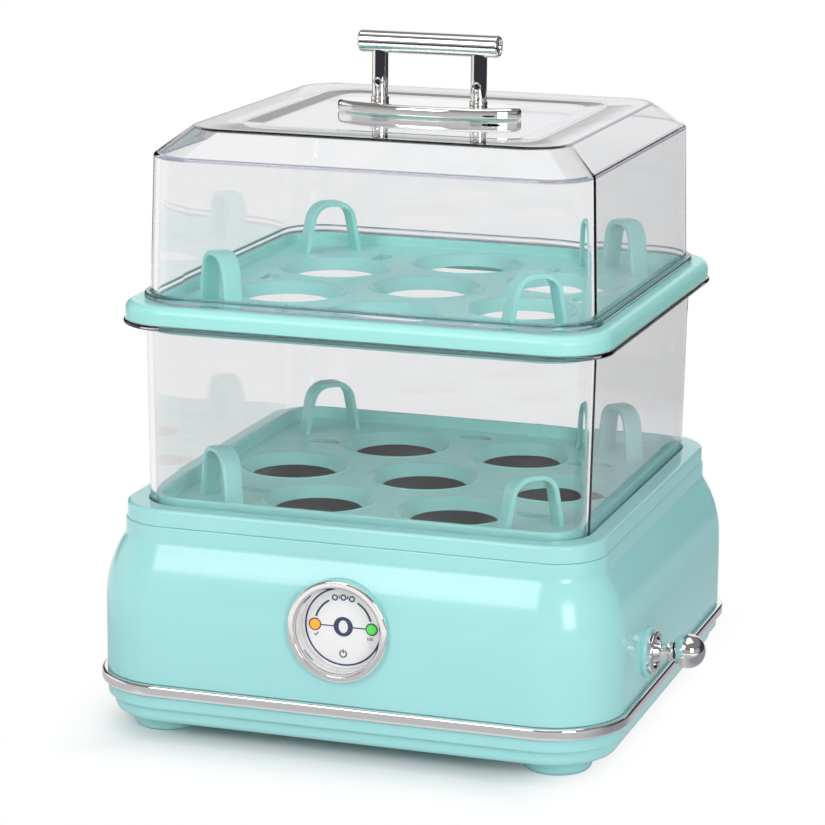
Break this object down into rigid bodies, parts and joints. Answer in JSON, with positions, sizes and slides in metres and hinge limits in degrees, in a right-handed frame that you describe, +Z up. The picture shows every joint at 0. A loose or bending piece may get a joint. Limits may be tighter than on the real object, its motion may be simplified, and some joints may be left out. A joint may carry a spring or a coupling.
{
  "type": "electric egg cooker",
  "caption": "Square two-tier electric egg cooker with a flared base, round dial, ball lever switch, clear steam chamber, egg trays and a clear lid with a bar handle.",
  "frame": {"origin": "on the table under the middle of the base's square body, level with the bottoms of the feet", "axes": "+Z up, -Y towards the dial, +X towards the lever"},
  "size_m": [0.2063, 0.1881, 0.2349],
  "materials": {
    "aqua_plastic": "gloss moulded",
    "clear_plastic": "clear moulded",
    "clear_lens": "clear moulded",
    "chrome_plate": "bright plated",
    "dark_plastic": "fine texture",
    "dial_print": "printed",
    "amber_lamp": "translucent",
    "green_lamp": "translucent",
    "board": "resin board",
    "coated_plate": "dark non-stick coat",
    "seal_rubber": "silicone",
    "cast_block": "as cast",
    "steel": "zinc plated",
    "fuse_sleeve": "woven sleeve",
    "block_plastic": "moulded",
    "lead_sheath": "silicone sheath"
  },
  "bodies": {
    "base": {"base_housing": "aqua_plastic", "chassis": "dark_plastic", "top_ring": "aqua_plastic", "bottom_cover": "aqua_plastic", "foot_back_right": "aqua_plastic", "foot_back_left": "aqua_plastic", "foot_front_left": "aqua_plastic", "foot_front_right": "aqua_plastic", "chrome_trim": "chrome_plate", "dial_bezel": "chrome_plate", "lever_plate": "chrome_plate", "dial_lens": "clear_lens", "dial_face": "dial_print", "ready_lamp": "amber_lamp", "steaming_lamp": "green_lamp", "lamp_board": "board", "heating_plate": "coated_plate", "plate_gasket": "seal_rubber", "heating_element": "cast_block", "element_clamp": "steel", "clamp_nuts": "steel", "plate_screws": "steel", "ring_screws": "steel", "base_screws": "steel", "lever_pin": "steel", "thermostat": "steel", "thermal_fuse": "fuse_sleeve", "power_switch": "dark_plastic", "cord_gland": "dark_plastic", "gland_nut": "dark_plastic", "terminal_block": "block_plastic", "dial_nut": "dark_plastic", "inner_leads": "lead_sheath"},
    "lower_tray": {"lower_tray": "aqua_plastic"},
    "chamber": {"steam_chamber": "clear_plastic"},
    "upper_tray": {"upper_tray": "aqua_plastic"},
    "lid": {"lid": "clear_plastic", "handle_plate": "chrome_plate", "handle_post_left": "chrome_plate", "handle_post_right": "chrome_plate", "handle_bar": "chrome_plate", "handle_set_screws": "steel", "handle_washers": "steel", "handle_screws": "steel"},
    "lever": {"lever": "chrome_plate"}
  },
  "joints": [
    {"name": "lower_tray_lift", "type": "slide", "parent": "base", "child": "lower_tray", "axis": [0, 0, 1], "range_m": [0, 0.04]},
    {"name": "chamber_lift", "type": "slide", "parent": "base", "child": "chamber", "axis": [0, 0, 1], "range_m": [0, 0.08]},
    {"name": "upper_tray_lift", "type": "slide", "parent": "chamber", "child": "upper_tray", "axis": [0, 0, 1], "range_m": [0, 0.06]},
    {"name": "lid_lift", "type": "slide", "parent": "upper_tray", "child": "lid", "axis": [0, 0, 1], "range_m": [0, 0.06]},
    {"name": "power_lever", "type": "hinge", "parent": "base", "child": "lever", "pos_m": [0.0915, -0.039, 0.0332], "axis": [0, 1, 0], "range_deg": [0, 14]}
  ]
}
